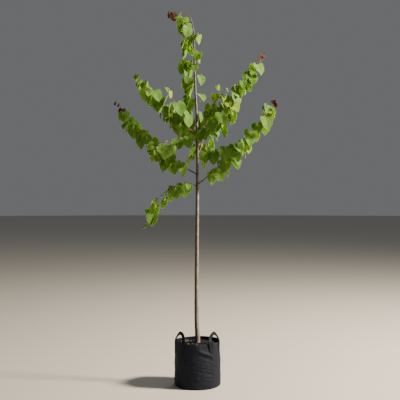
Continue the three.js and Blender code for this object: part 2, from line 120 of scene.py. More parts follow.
HEM_FOOT = BAG_HEIGHT - HEM_DEPTH
FOLD_LEFT, FOLD_RIGHT, FOLD_DEPTH = 270, 311, 14
CREASE_LEFT, CREASE_RIGHT, RIDGE, HOLLOW = 297, 250, 6.2, 4.4  # heights of the fold's foot, and relief there
SLACK_MIDDLE, SLACK_SPREAD = 296, 44  # bearings of the loose cloth with level creases
SEAM_BEARING, SEAM_HALF, SEAM_LAP = 97, 7, 1.3
BINDING_HEIGHT, BINDING_RELIEF = 9, 1.4  # of the bound edge round the foot
SEAM_STITCH_BEARINGS = (91.5, 94)
BAG_STEPS, COMPOST_STEPS, COMPOST_RINGS = 240, 144, 30  # round the axis, and from it to the edge
STRAP_SIDES, STRAP_ROWS, STRAP_CUP = 16, 22, 2.5  # points round the webbing, and rows of them up a sewn leg
STITCH_LENGTH, STITCH_RADIUS, STITCH_SIDES, STITCH_STEPS = 4.6, 0.5, 5, 4
HEM_STITCHES = 158  # in a row
SEAM_PITCH, STRAP_PITCH = 7, 6.5  # from stitch to stitch
COMPOST_ROWS = (10, 60, 120, 180, 240, 280, 300, 318)  # heights up the root ball's side
STREWN_REACH = 160  # from the trunk
Strewn = namedtuple("Strewn", "count seed smallest largest flatness clear lean")
STREWN = {
    "compost_crumbs": Strewn(900, 7, 3, 11, 0.7, 24, 0.0),
    "bark_chips": Strewn(120, 11, 8, 22, 0.28, 30, 0.0),
    "pale_grit": Strewn(30, 13, 5, 14, 0.6, 45, 0.9),
}

TRUNK_SIDES, TRUNK_ROW = 36, 4
SCARS = ((418, 248), (655, 318), (905, 214), (1088, 291), (760, 92), (540, 140))  # height, bearing
Wood = namedtuple("Wood", "steps sides tip collar")
BOUGH_WOOD, TWIG_WOOD = Wood(6, 10, BOUGH_TIP, 1.8), Wood(4, 7, 1.1, 0.0)
FINE_INTERNODE, FINE_RADIUS, FINE_YOUNGEST = 22, 1.4, 0.5
KNOB_RELIEF = 0.22
BUD_SIZE, BUD_OUT = 2.4, 1.2
STALK_SIDES, STALK_STEPS = 5, 4

# The deep tone is a darker green that stands for painted shade; the light and lime tones are lighter,
# yellower greens that stand for painted light, the lime one for light through the blade.
TONES = ("deep", "green", "light", "lime", "bronze")
# Shares of the deal, each added to the one before, on the shady side and on the sunny side.
LIME_SHARE, LIGHT_SHARE, GREEN_SHARE = (0.02, 0.12), (0.16, 0.36), 0.74
# How many joints from a shoot's tip have leaves of that tone.
BRONZE_JOINTS = {
    "foliage_leader": 2,
    "foliage_lower_left": 2,
    "foliage_upper_right": 2,
    "foliage_low_right": 1,
}
# The high right bough's tip leaves take the lime tone: painted light.
LIME_JOINTS = {"foliage_high_right": 4}
GREEN_PALE, GREEN_GLOW = "#7d9f42", 0.42
BRONZE_PALE, BRONZE_GLOW = "#472818", 0.12
VEIN_SHARE, UNDER_SHARE = 0.45, 0.3  # how far the veins and the under skin are on the way to the pale colour

RAYS = (0, 16, 34, 56, 80, 106, 134, 163)  # degrees from the midrib, a vein on every other one
RINGS = (0, 0.46, 0.95, 1)

# The stage is in metres, but for the lens and its sensor.
FLOOR_RADIUS, FLOOR_SIDES, AIR_STRENGTH = 60, 96, 0.17
LENS, SENSOR, EYE_ASIDE = 62.2, 36, 0.0195
LAMPS_AIM = Vector((0, 0, 1.5))
Lamp = namedtuple("Lamp", "place size power colour")
LAMPS = {
    "key_light": Lamp((6.2, -1.1, 5.6), 1.3, 2250, "#fff0d8"),
    "fill_light": Lamp((-2.2, -6.0, 2.8), 3.0, 12, "#eaf1ff"),
    "rim_light": Lamp((1.5, 4.6, 4.6), 2.0, 60, "#fff6e8"),
}

# ---- sizes and colours that a user would change -----------------------------------------------


def linear(code):
    """A colour written as sRGB hex, turned to linear."""
    parts = (int(code[i : i + 2], 16) / 255 for i in (1, 3, 5))
    return tuple(c / 12.92 if c <= 0.04045 else ((c + 0.055) / 1.055) ** 2.4 for c in parts)


def colour_setting(name, description, code):
    return bpy.props.FloatVectorProperty(
        name=name, description=description, subtype="COLOR", size=3, min=0, max=1, default=linear(code)
    )


def length_setting(name, description, default, low, high):
    """A length in metres."""
    return bpy.props.FloatProperty(
        name=name,
        description=description,
        default=default,
        min=low,
        max=high,
        subtype="DISTANCE",
        unit="LENGTH",
    )


def share_setting(name, description, default, high):
    return bpy.props.FloatProperty(
        name=name, description=description, default=default, min=0, max=high, subtype="FACTOR"
    )


class LeafSettings(bpy.types.PropertyGroup):
    """Leaves and the wood that they hang on."""

    thickness: length_setting("Thickness", "Of the blade at its midrib", 0.0004, 0.0001, 0.003)
    rim_wave: share_setting("Rim wave", "Rise and fall of the rim, a share of the leaf's length", 0.035, 0.15)
    fine_twigs: share_setting("Fine twigs", "Share of the joints that carry a fine side twig", 0.28, 1)
    # The deep colour is painted shade, and the light and lime colours are painted light.
    deep: colour_setting("Deep green", "Leaves in the shade of others", "#4e7133")
    green: colour_setting("Green", "Full-grown leaves", "#537634")
    light: colour_setting("Light green", "Leaves that face the light", "#5c7d37")
    lime: colour_setting("Lime", "Leaves with the light through them", "#7c9433")
    bronze: colour_setting("Bronze", "The youngest leaves at a shoot's tip", "#3a2015")


class BarkSettings(bpy.types.PropertyGroup):
    """The trunk's and the boughs' bark."""

    relief: length_setting("Relief", "Depth of the trunk's fissures", 0.0007, 0, 0.003)
    trunk: colour_setting("Trunk", "Grey-brown bark", "#746a61")
    pores: colour_setting("Pores", "Corky pores in the bark", "#b8aea3")
    bough: colour_setting("Boughs", "Young red-brown bark", "#584034")


class BagSettings(bpy.types.PropertyGroup):
    """The fabric bag, its straps and the compost in it."""

    wrinkles: length_setting("Wrinkles", "Depth of the creases in the wall", 0.0021, 0, 0.004)
    cloth: colour_setting("Cloth", "Black woven cloth", "#181922")
    webbing: colour_setting("Webbing", "Black strap webbing", "#0a0c12")
    compost: colour_setting("Compost", "Dark peaty compost", "#0e0d0c")


class StageSettings(bpy.types.PropertyGroup):
    """Floor, light and camera."""

    floor: colour_setting("Floor", "Pale floor", "#c6c2bb")
    eye_height: length_setting("Eye height", "The camera's height above the floor", 1.44, 0.1, 5)
    distance: length_setting("Distance", "From the camera to the trunk", 5.4, 1, 20)


SETTINGS = {
    "tree_leaf": LeafSettings,
    "tree_bark": BarkSettings,
    "tree_bag": BagSettings,
    "tree_stage": StageSettings,
}

# ---- small tools ------------------------------------------------------------------------------


def smooth(t):
    t = min(1.0, max(0.0, t))
    return t * t * (3 - 2 * t)


def lerp(a, b, share):
    return a + (b - a) * share


def bell(distance, width):
    """1 at no distance, and soon 0 past the width."""
    return math.exp(-((distance / width) ** 2))


def heading(bearing, rise):
    """A direction from its bearing and its rise above level."""
    level = math.cos(math.radians(rise))
    across, back = math.cos(math.radians(bearing)), math.sin(math.radians(bearing))
    return Vector((level * across, level * back, math.sin(math.radians(rise))))


def seeded(seed):
    """A repeatable run of numbers from 0 to 1."""
    state = seed * 1000003

    def draw():
        nonlocal state
        state = state * 16807 % 2147483647
        return state / 2147483647

    return draw


def turned_off(bearing, other):
    """How far one bearing is from another, from -180 to 180."""
    return (bearing - other + 180) % 360 - 180


def tangent_at(points, j):
    return (points[min(len(points) - 1, j + 1)] - points[max(0, j - 1)]).normalized()


def side_of(tangent):
    return tangent.cross(UP).normalized()


def polar(spot):
    """A spot's distance from the axis and its bearing from 0 to 360."""
    return math.hypot(spot.x, spot.y), math.degrees(math.atan2(spot.y, spot.x)) % 360


Shape = namedtuple("Shape", "points faces slots")


def shape_of(bm):
    """The points, faces and material slots of a small mesh that is used many times."""
    bm.verts.index_update()
    points = [v.co.copy() for v in bm.verts]
    faces = [[v.index for v in f.verts] for f in bm.faces]
    slots = [f.material_index for f in bm.faces]
    bm.free()
    return Shape(points, faces, slots)


class Pile:
    """Many shapes that end as one mesh, with marks: named values or vectors, one a point."""

    def __init__(self):
        self.points, self.faces, self.slots, self.marks = [], [], [], {}

    def add(self, shape, points, **marks):
        first = len(self.points)
        self.points += points
        self.faces += [[first + i for i in face] for face in shape.faces]
        self.slots += shape.slots
        for name, values in marks.items():
            self.marks.setdefault(name, []).extend(values)

    def mesh(self, name):
        mesh = bpy.data.meshes.new(name)
        mesh.from_pydata([point * MM for point in self.points], [], self.faces)
        mesh.polygons.foreach_set("material_index", self.slots)
        for mark, values in self.marks.items():
            if isinstance(values[0], Vector):
                layer = mesh.attributes.new(mark, "FLOAT_VECTOR", "POINT")
                layer.data.foreach_set("vector", [x for value in values for x in value])
            else:
                mesh.attributes.new(mark, "FLOAT", "POINT").data.foreach_set("value", values)
        return mesh


def show(mesh, materials, nodes=(), crisp=None):
    """Puts a finished mesh in the scene: it rides on the root, stands for its nodes and takes its materials.

    Edges that bend more than the crisp angle, in degrees, stay sharp.
    """
    piece = bpy.data.objects.new(mesh.name, mesh)
    bpy.context.scene.collection.objects.link(piece)
    for material in materials:
        mesh.materials.append(material)
    mesh.shade_smooth()
    if crisp is not None:
        mesh.set_sharp_from_angle(angle=math.radians(crisp))
    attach(piece, "root")
    if nodes:
        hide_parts(*nodes)
    return piece


TUBES = {}


def straight_tube(sides, rows):
    """A capped tube of radius 1 whose rows of points stand a step of 1 apart."""
    if (sides, rows) not in TUBES:
        bm = bmesh.new()
        bmesh.ops.create_circle(bm, segments=sides, radius=1)
        bmesh.ops.spin(
            bm,
            geom=bm.verts[:] + bm.edges[:],
            cent=(0, 0, 0),
            axis=(0, 0, 1),
            dvec=(0, 0, 1),
            angle=0,
            steps=rows,
            use_duplicate=False,
        )
        bmesh.ops.holes_fill(bm, edges=bm.edges[:], sides=sides)
        bmesh.ops.recalc_face_normals(bm, faces=bm.faces[:])
        TUBES[sides, rows] = shape_of(bm)
    return TUBES[sides, rows]


def frames_along(line):
    """A side and a front direction at each point of a line, carried along it without a twist."""
    frames = []
    normal = Vector((1, 0, 0)) if abs(tangent_at(line, 0).x) < 0.85 else UP
    for j in range(len(line)):
        tangent = tangent_at(line, j)
        normal = (normal - tangent * normal.dot(tangent)).normalized()
        frames.append((normal, tangent.cross(normal)))
    return frames


def limb(pile, line, radii, sides, relief=None):
    """Adds a limb: a straight tube whose rows are moved on to the line, with a grain that runs along it."""
    tube = straight_tube(sides, len(line) - 1)
    frames = frames_along(line)
    run = [0.0]
    for before, after in zip(line, line[1:]):
        run.append(run[-1] + (after - before).length)
    points, grain = [], []
    for x, y, z in tube.points:
        row = round(z)
        normal, other = frames[row]
        out = normal * x + other * y
        radius = radii[row] + (relief(out, run[row], radii[row]) if relief else 0)
        points.append(line[row] + out * radius)
        grain.append(Vector((x * radius, y * radius, run[row])) * MM)
    pile.add(tube, points, grain=grain)


def spline(points, steps):
    """A smooth line through points, with so many steps from each to the next."""
    line = []
    ends = [points[0] * 2 - points[1], *points, points[-1] * 2 - points[-2]]
    for a, b, c, d in zip(ends, ends[1:], ends[2:], ends[3:]):
        for step in range(steps):
            t = step / steps
            square = a * 2 - b * 5 + c * 4 - d
            cube = b * 3 - a - c * 3 + d
            line.append((b * 2 + (c - a) * t + square * t * t + cube * t**3) / 2)
    return [*line, points[-1].copy()]


# ---- materials --------------------------------------------------------------------------------

SOFT = {"interpolation_type": "SMOOTHSTEP"}
COLOURS = {"data_type": "RGBA"}  # a mix that takes its share at 0, its colours at 6 and 7, and gives output 2
BAND = math.pi / 10  # from band to band in a wave texture of scale 1


def add(tree, kind, inputs=None, **settings):
    """Adds a node with its settings. An input is a value, or another node's output to link."""
    made = tree.nodes.new(f"ShaderNode{kind}")
    for name, value in settings.items():
        setattr(made, name, value)
    for name, value in (inputs or {}).items():
        if isinstance(value, bpy.types.NodeSocket):
            tree.links.new(value, made.inputs[name])
        else:
            made.inputs[name].default_value = value
    return made


def surface(name, colour, roughness, height=None, depth=0, **more):
    """Ends a material's tree in its shader, with a colour's output and a relief some millimetres deep."""
    tree = colour.id_data
    inputs = {"Base Color": colour, "Roughness": roughness, **more}
    if height is not None:
        relief = {"Height": height, "Distance": depth * MM, "Strength": 1.0}
        inputs["Normal"] = add(tree, "Bump", relief).outputs[0]
    shader = add(tree, "BsdfPrincipled", inputs).outputs[0]
    add(tree, "OutputMaterial", {"Surface": shader})
    return bpy.data.materials[name]


def new_tree(name):
    material = bpy.data.materials.new(name)
    material.use_nodes = True
    material.node_tree.nodes.clear()
    return material.node_tree


def every(size):
    """A pattern's scale from the real size of what it draws, in millimetres."""
    return 1 / (size * MM)


def opaque(colour):
    return (*colour, 1.0)


def shade_of(colour, share):
    """The same colour, darker below a share of 1 and lighter above it."""
    return (*(min(1.0, c * share) for c in colour), 1.0)


def tinted(colour, other, share):
    """A colour moved a share of the way to another."""
    return [lerp(a, b, share) for a, b in zip(colour, other)]


def leaf_skin(name, colour, vein, roughness, glow):
    """Leaf blade. The upper skin is waxy and deep green, the under skin dull and paler, the veins pale.

    The glow is the share of light that enters one skin and comes out of the other, greener.
    """
    tree = new_tree(name)
    where = add(tree, "TexCoord").outputs["Object"]
    # Patches 30 mm across, and a net of fine veins 3 mm apart.
    patches = add(tree, "TexNoise", {"Vector": where, "Scale": every(30.3), "Detail": 3.0}).outputs[0]
    pattern = {"Vector": where, "Scale": every(3.03)}
    net = add(tree, "TexVoronoi", pattern, feature="DISTANCE_TO_EDGE").outputs[0]
    ribs = add(tree, "Attribute", attribute_name="vein").outputs["Fac"]
    patches = add(tree, "MapRange", {"Value": patches, "From Min": 0.35, "From Max": 0.7}, **SOFT).outputs[0]
    tones = {0: patches, 6: shade_of(colour, 0.93), 7: shade_of(colour, 1.08)}
    blade = add(tree, "Mix", tones, **COLOURS).outputs[2]
    ribs = add(tree, "MapRange", {"Value": ribs, "From Min": 0.8, "To Max": 0.6}, **SOFT).outputs[0]
    blade = add(tree, "Mix", {0: ribs, 6: blade, 7: opaque(vein)}, **COLOURS).outputs[2]
    net = add(tree, "MapRange", {"Value": net, "From Max": 0.35}, **SOFT).outputs[0]
    living = {
        "IOR": 1.4,
        "Specular IOR Level": 0.08,
        "Subsurface Weight": glow,
        "Subsurface Radius": (0.75, 1.0, 0.25),
        "Subsurface Scale": 0.002,
    }
    return surface(name, blade, roughness, net, 0.015, **living)


def bark(name, colour, pores, fissure, pore, painted_shade=0.0):
    """Smooth young bark, with fine fissures drawn out along the limb and pale corky pores across it.

    A fissure's width and a pore's length are millimetres. The side away from the key light is darkened by a
    share: painted shade.
    """
    tree = new_tree(name)
    grain = add(tree, "Attribute", attribute_name="grain").outputs["Vector"]
    # A fissure is ten times as long as it is wide.
    along = add(tree, "Mapping", {"Vector": grain, "Scale": (1.0, 1.0, 0.1)}).outputs[0]
    lines = add(tree, "TexNoise", {"Vector": along, "Scale": every(fissure), "Detail": 4.0}).outputs[0]
    # Weathered patches 36 mm across.
    patches = add(tree, "TexNoise", {"Vector": grain, "Scale": every(35.7), "Detail": 2.0}).outputs[0]
    # Pores are wider round the limb than along it.
    across = add(tree, "Mapping", {"Vector": grain, "Scale": (1.0, 1.0, 2.2)}).outputs[0]
    spots = add(tree, "TexVoronoi", {"Vector": across, "Scale": every(pore)}).outputs["Distance"]
    streaks = add(tree, "MapRange", {"Value": lines, "From Min": 0.35, "From Max": 0.65}, **SOFT).outputs[0]
    spread = {"Value": patches, "From Min": 0.4, "From Max": 0.7, "To Max": 0.45}
    patches = add(tree, "MapRange", spread, **SOFT).outputs[0]
    spots = add(tree, "MapRange", {"Value": spots, "From Min": 0.3, "From Max": 0.2}, **SOFT).outputs[0]
    tones = {0: streaks, 6: shade_of(colour, 0.62), 7: shade_of(colour, 1.2)}
    skin = add(tree, "Mix", tones, **COLOURS).outputs[2]
    skin = add(tree, "Mix", {0: patches, 6: skin, 7: shade_of(pores, 0.8)}, **COLOURS).outputs[2]
    skin = add(tree, "Mix", {0: spots, 6: skin, 7: opaque(pores)}, **COLOURS).outputs[2]
    # Painted shade: the bark on the side away from the key light, towards -X, is mixed towards dark brown.
    if painted_shade:
        sunward = add(tree, "SeparateXYZ", {"Vector": grain}).outputs["X"]
        spread = {"Value": sunward, "From Min": 6 * MM, "From Max": -3 * MM, "To Max": painted_shade}
        shady = add(tree, "MapRange", spread, **SOFT).outputs[0]
        skin = add(tree, "Mix", {0: shady, 6: skin, 7: opaque(linear("#33241a"))}, **COLOURS).outputs[2]
    relief = add(tree, "Math", {0: lines, 1: spots}, operation="ADD").outputs[0]
    return surface(name, skin, 0.82, relief, 0.6, IOR=1.5)


def woven(name, colour, tape, roughness):
    """Polypropylene tapes woven over and under, heat-set. They catch a dull light along their length.

    A tape's width is millimetres. The weave follows the piece's own cloth layer.
    """
    tree = new_tree(name)
    cloth = add(tree, "UVMap", uv_map="cloth").outputs[0]
    bands = {"Vector": cloth, "Scale": BAND * every(tape)}
    warp = add(tree, "TexWave", bands, bands_direction="X").outputs["Color"]
    weft = add(tree, "TexWave", bands, bands_direction="Y").outputs["Color"]
    cross = add(tree, "TexChecker", {"Vector": cloth, "Scale": every(tape)}).outputs["Fac"]
    height = add(tree, "Mix", {0: cross, 6: warp, 7: weft}, **COLOURS).outputs[2]
    where = add(tree, "TexCoord").outputs["Object"]
    # Rubbed and dusty places 60 mm across.
    dust = add(tree, "TexNoise", {"Vector": where, "Scale": every(58.8), "Detail": 5.0}).outputs[0]
    tones = {0: height, 6: shade_of(colour, 0.75), 7: shade_of(colour, 1.25)}
    weave = add(tree, "Mix", tones, **COLOURS).outputs[2]
    spread = {"Value": dust, "From Min": 0.5, "From Max": 0.8, "To Max": 0.18}
    dust = add(tree, "MapRange", spread, **SOFT).outputs[0]
    rubbed = add(tree, "Mix", {0: dust, 6: weave, 7: opaque(linear("#23262f"))}, **COLOURS).outputs[2]
    # The dye gives the highlights a blue cast.
    sheen = {"IOR": 1.49, "Specular IOR Level": 0.22, "Specular Tint": (0.66, 0.8, 1.0, 1.0)}
    return surface(name, rubbed, roughness, height, tape * 0.12, **sheen)


def crumbly(name, colour, light, lump, roughness=0.95):
    """Peat, bark or grit. Broken and matt, darker where it is wet. A lump's size is millimetres."""
    tree = new_tree(name)
    where = add(tree, "TexCoord").outputs["Object"]
    pattern = {"Vector": where, "Scale": every(lump), "Detail": 8.0, "Roughness": 0.7}
    lumps = add(tree, "TexNoise", pattern).outputs[0]
    dry = add(tree, "MapRange", {"Value": lumps, "From Min": 0.35, "From Max": 0.68}, **SOFT).outputs[0]
    tone = add(tree, "Mix", {0: dry, 6: shade_of(colour, 0.55), 7: opaque(light)}, **COLOURS).outputs[2]
    return surface(name, tone, roughness, lumps, 2, IOR=1.4)


def spun_thread(name, colour):
    """Polyester thread, three strands twisted. It is a little brighter than the cloth."""
    tree = new_tree(name)
    where = add(tree, "TexCoord").outputs["Object"]
    # Strands 0.6 mm apart.
    pattern = {"Vector": where, "Scale": BAND * every(0.6)}
    strands = add(tree, "TexWave", pattern, bands_direction="DIAGONAL").outputs["Color"]
    tone = add(tree, "Mix", {0: strands, 6: shade_of(colour, 0.7), 7: shade_of(colour, 1.2)}, **COLOURS)
    return surface(name, tone.outputs[2], 0.6, strands, 0.1, IOR=1.5)


def matt_paint(name, colour):
    """Floor paint rolled on matt, so the light on it stays soft. It clouds slightly, metres apart."""
    tree = new_tree(name)
    where = add(tree, "TexCoord").outputs["Object"]
    clouds = add(tree, "TexNoise", {"Vector": where, "Scale": every(1667), "Detail": 2.0}).outputs[0]
    tone = add(tree, "Mix", {0: clouds, 6: shade_of(colour, 0.97), 7: opaque(colour)}, **COLOURS)
    return surface(name, tone.outputs[2], 0.9)


# ---- bag and compost --------------------------------------------------------------------------


def wall_radius(height):
    """The filled bag's outer radius before its slack."""
    share = height / BAG_HEIGHT
    belly = BAG_RADIUS - (BAG_RADIUS - BAG_RIM) * share * share
    foot = min(1.0, max(0.0, height / BAG_ROUND))
    return BAG_FOOT + (belly - BAG_FOOT) * math.sqrt(1 - (1 - foot) ** 2)


def slack(bearing, height):
    """How far the wall stands off the true round: a little oval, and a little three-sided."""
    angle, rising = math.radians(bearing), height / BAG_HEIGHT
    oval = 2.2 * math.cos(2 * angle - 0.7) * smooth(rising * 4)
    return oval + 1.3 * math.sin(3 * angle + 5 * rising) * smooth(rising * 3)


def fold(bearing, height):
    """The loose stretch of rim at the front right, which leans in over a slanting crease.

    It sets in slowly on the left and ends short on the right, with a hollow below the crease's ridge.
    """
    along = (bearing - FOLD_LEFT) / (FOLD_RIGHT - FOLD_LEFT)
    crease = lerp(CREASE_LEFT, CREASE_RIGHT, along)
    inside = smooth((along + 0.12) / 0.5) * smooth((1.08 - along) / 0.16)
    above = max(0.0, (height - crease) / (BAG_HEIGHT - crease))
    ridge = RIDGE * bell(height - crease + 2, 11) - HOLLOW * bell(height - crease + 30, 14)
    return inside * (ridge - FOLD_DEPTH * min(1.0, above * 1.1))


def wrinkle(bearing, height, depth):
    """Creases in the wall: broad dimples, and short level ones low on the right where the cloth is slack."""
    angle = math.radians(bearing)
    spot = Vector((math.cos(angle) * BAG_RADIUS, math.sin(angle) * BAG_RADIUS, height))
    # Dimples 75 mm across, level creases 11 mm high and slanting ones 13 mm high.
    broad = noise.noise(spot / 75) * 1.5
    level = noise.noise(Vector((spot.x / 38, spot.y / 38, height / 11 + spot.x / 90)))
    slant = noise.noise(Vector((spot.x / 34, spot.y / 34, height / 13 - spot.x / 16)) + UP * 7)
    loose = bell(turned_off(bearing, SLACK_MIDDLE), SLACK_SPREAD)
    loose *= smooth((height - 25) / 50) * smooth((262 - height) / 60)
    calm = smooth(height / 20) * smooth((HEM_FOOT - height) / 20)
    return depth * (broad + level * (0.22 + 1.9 * loose) + slant * 0.3) * calm


def seam(bearing, height):
    """The lapped side seam at the back and the bound edge round the foot."""
    within = smooth((SEAM_HALF - abs(turned_off(bearing, SEAM_BEARING))) / 0.8) if height < HEM_FOOT else 0
    return SEAM_LAP * within * smooth(height / 12) + BINDING_RELIEF * bell(height - BINDING_HEIGHT, 2.5)


def rim_sway(bearing, height):
    """How far the cloth near the rim rises and sinks, round the bag."""
    sway = 1.6 * math.sin(math.radians(2 * bearing) + 0.6) + 0.9 * math.sin(math.radians(5 * bearing))
    return sway * smooth((height - 290) / 50)


def spun(section, steps):
    """A closed shell: its section, as radii and heights, spun about the axis."""
    bm = bmesh.new()
    line = [bm.verts.new((radius, 0, z)) for radius, z in section]
    edges = [bm.edges.new(pair) for pair in zip(line, line[1:])]
    bmesh.ops.spin(
        bm,
        geom=line + edges,
        cent=(0, 0, 0),
        axis=(0, 0, 1),
        dvec=(0, 0, 0),
        angle=math.tau,
        steps=steps,
        use_merge=True,
        use_duplicate=False,
    )
    bmesh.ops.remove_doubles(bm, verts=bm.verts[:], dist=1e-4)
    bmesh.ops.recalc_face_normals(bm, faces=bm.faces[:])
    return bm


def bag_mesh(depth):
    """The bag: its section spun about the axis, and then let slack, folded and creased."""
    rows = [0.6, 2, 4, 6, 7.5, 9, 10.5, 13, *range(16, HEM_FOOT - 2, 4), HEM_FOOT - 1]
    hem = [*(HEM_FOOT + up for up in (0.6, 4, 9, 14, 19)), BAG_HEIGHT - 1.5]
    outside = [(wall_radius(z), z) for z in rows] + [(wall_radius(z) + HEM_WALL, z) for z in hem]
    rim = [(BAG_RIM + out, BAG_HEIGHT + up) for out, up in ((0.2, 0), (-1.6, 0.3), (-BAG_WALL, -1))]
    inside = [(wall_radius(z) - BAG_WALL, z) for z in range(BAG_HEIGHT - 8, 10, -8)]
    floor = [(BAG_FOOT - 20, 5), (0, 5)]
    section = [(0, 0), (BAG_FOOT * 0.5, 0), (BAG_FOOT - 2, 0), *outside, *rim, *inside, *floor]
    bm = spun(section, BAG_STEPS)
    lay_out(bm)
    for vert in bm.verts:
        radius, bearing = polar(vert.co)
        if radius < 1:
            continue
        level = min(vert.co.z, BAG_HEIGHT)
        is_wall = radius > wall_radius(level) - 1
        off = slack(bearing, level) + fold(bearing, level)
        off += wrinkle(bearing, level, depth / MM) + (seam(bearing, level) if is_wall else 0)
        share = min(1.0, radius / wall_radius(level))
        grow = (radius + off * share * share) / radius
        vert.co.x *= grow
        vert.co.y *= grow
        vert.co.z += rim_sway(bearing, vert.co.z)
    return finished(bm, "fabric_bag")


def lay_out(bm):
    """Unrolls the bag's wall on to its cloth: bearings round by height up, in metres."""
    layer = bm.loops.layers.uv.new("cloth")
    for face in bm.faces:
        middle = face.calc_center_median()
        centre = math.atan2(middle.y, middle.x)
        for loop in face.loops:
            spot = loop.vert.co
            turn = math.atan2(spot.y, spot.x) if math.hypot(spot.x, spot.y) > 1 else centre
            turn += math.tau * round((centre - turn) / math.tau)
            reach = math.hypot(spot.x, spot.y)
            loop[layer].uv = (turn * BAG_RADIUS * MM, (spot.z + min(0, reach - BAG_FOOT)) * MM)


def finished(bm, name):
    """Turns a bmesh in millimetres into a mesh in metres."""
    bmesh.ops.scale(bm, vec=(MM, MM, MM), verts=bm.verts[:])
    mesh = bpy.data.meshes.new(name)
    bm.to_mesh(mesh)
    bm.free()
    return mesh


def strap_line(bearing, steps):
    """The middle line of a strap: up the wall, over in a loop above the rim and down again."""
    foot, half = BAG_HEIGHT - STRAP_SEWN, STRAP_SPAN / 2
    legs = []
    for step in range(steps):
        z = lerp(foot, BAG_HEIGHT, step / steps)
        legs.append((-half + STRAP_TOE_IN * max(0.0, 1 - (z - foot) / STRAP_SEWN), z))
    arc = []
    for step in range(2 * steps + 1):
        turn = math.pi * step / (2 * steps)
        arc.append((-half * math.cos(turn), BAG_HEIGHT + STRAP_RISE * math.sin(turn)))
    line = [*legs, *arc, *[(-along, z) for along, z in reversed(legs)]]
    points = []
    for along, z in line:
        turn = math.degrees(along / BAG_RADIUS) + bearing
        level = min(z, BAG_HEIGHT)
        loose = STRAP_LEAN * smooth((z - BAG_HEIGHT) / STRAP_RISE)
        hem = (HEM_WALL + 0.9) * smooth((z - HEM_FOOT + 12) / 12)
        radius = wall_radius(level) + STRAP_OFFSET + hem + loose + slack(turn, level) + STRAP_THICK / 2
        radius += 0.5 * fold(turn % 360, level)
        points.append(heading(turn, 0) * radius + UP * z)
    return points


def strap_frames(line):
    """The strap's width and thickness directions at each point: flat on the wall, and turned in the loop."""
    frames = []
    for j, centre in enumerate(line):
        tangent = tangent_at(line, j)
        out = Vector((centre.x, centre.y, 0)).normalized()
        out = (out - tangent * out.dot(tangent)).normalized()
        turn = math.radians(STRAP_TWIST) * smooth((centre.z - BAG_HEIGHT) / STRAP_RISE)
        wide = tangent.cross(out) * math.cos(turn) + out * math.sin(turn)
        frames.append((wide, wide.cross(tangent)))
    return frames


def strap_mesh(name, bearing):
    """Webbing: a tube whose rows are pressed flat, with rounded edges and a slightly cupped loop."""
    line = strap_line(bearing, STRAP_ROWS)
    frames = strap_frames(line)
    tube = straight_tube(STRAP_SIDES, len(line) - 1)
    pile, points, uvs = Pile(), [], []
    for x, y, z in tube.points:
        row = round(z)
        wide, deep = frames[row]
        across = math.copysign(abs(x) ** 0.35, x)
        proud = math.copysign(abs(y) ** 0.6, y)
        cup = STRAP_CUP * smooth((line[row].z - BAG_HEIGHT) / STRAP_RISE) * across * across
        points.append(line[row] + wide * across * STRAP_WIDTH / 2 + deep * (proud * STRAP_THICK / 2 - cup))
        uvs.append((across * STRAP_WIDTH / 2 * MM, row * 4 * MM))
    pile.add(tube, points)
    mesh = pile.mesh(name)
    layer = mesh.uv_layers.new(name="cloth")
    for loop in mesh.loops:
        layer.data[loop.index].uv = uvs[loop.vertex_index]
    return mesh


def add_stitch(pile, middle, along, out):
    """A stitch of thread: a short bar that rises out of the cloth in its middle and sinks in at its ends."""
    bar = straight_tube(STITCH_SIDES, STITCH_STEPS)
    across = along.cross(out)
    points = []
    for x, y, z in bar.points:
        share = 2 * z / STITCH_STEPS - 1
        thick = STITCH_RADIUS * (1 - 0.35 * share * share)
        centre = middle + along * (share * STITCH_LENGTH / 2) + out * (0.55 * (1 - share * share) - 0.3)
        points.append(centre + across * x * thick + out * y * thick)
    pile.add(bar, points)


def hem_stitches(depth):
    """Two rows of stitches round the hem, and two down the lapped seam at the back."""
    pile = Pile()
    for height in (HEM_FOOT + 4, BAG_HEIGHT - 5):
        for step in range(HEM_STITCHES):
            bearing = step * 360 / HEM_STITCHES
            out = heading(bearing, 0)
            radius = wall_radius(height) + HEM_WALL + slack(bearing, height) + fold(bearing, height)
            middle = out * radius + UP * (height + rim_sway(bearing, height))
            add_stitch(pile, middle, Vector((-out.y, out.x, 0)), out)
    for bearing in SEAM_STITCH_BEARINGS:
        for height in range(22, HEM_FOOT - 4, SEAM_PITCH):
            out = heading(bearing, 0)
            radius = wall_radius(height) + slack(bearing, height) + seam(bearing, height)
            radius += wrinkle(bearing, height, depth / MM)
            add_stitch(pile, out * radius + UP * height, UP, out)
    return pile.mesh("hem_stitches")


def on_strap(line, frames, across, row):
    """A spot on a strap's face, at a place across it and a row along it, and the way out of the face."""
    low = int(row)
    wide, deep = frames[low]
    return line[low].lerp(line[low + 1], row - low) + wide * across + deep * STRAP_THICK / 2, deep


def strap_stitches():
    """On each sewn leg of a strap, a box of stitches with a cross in it."""
    pile = Pile()
    corners = [(-10, 0.5), (10, 0.5), (10, 12.8), (-10, 12.8)]  # across the strap, and in rows from its foot
    sides = [*zip(corners, corners[1:] + corners[:1]), corners[::2], corners[1::2]]
    for bearing in HANDLES.values():
        line = strap_line(bearing, STRAP_ROWS)
        for leg in (line, line[::-1]):
            frames = strap_frames(leg)
            for (left, low), (right, high) in sides:
                run = (high - low) * STRAP_SEWN / STRAP_ROWS
                count = round(math.hypot(right - left, run) / STRAP_PITCH)
                spots = []
                for step in range(count + 1):
                    share = step / count
                    spots.append(on_strap(leg, frames, lerp(left, right, share), lerp(low, high, share)))
                for (start, out), (end, _) in zip(spots, spots[1:]):
                    add_stitch(pile, (start + end) / 2, (end - start).normalized(), out)
    return pile.mesh("strap_stitches")


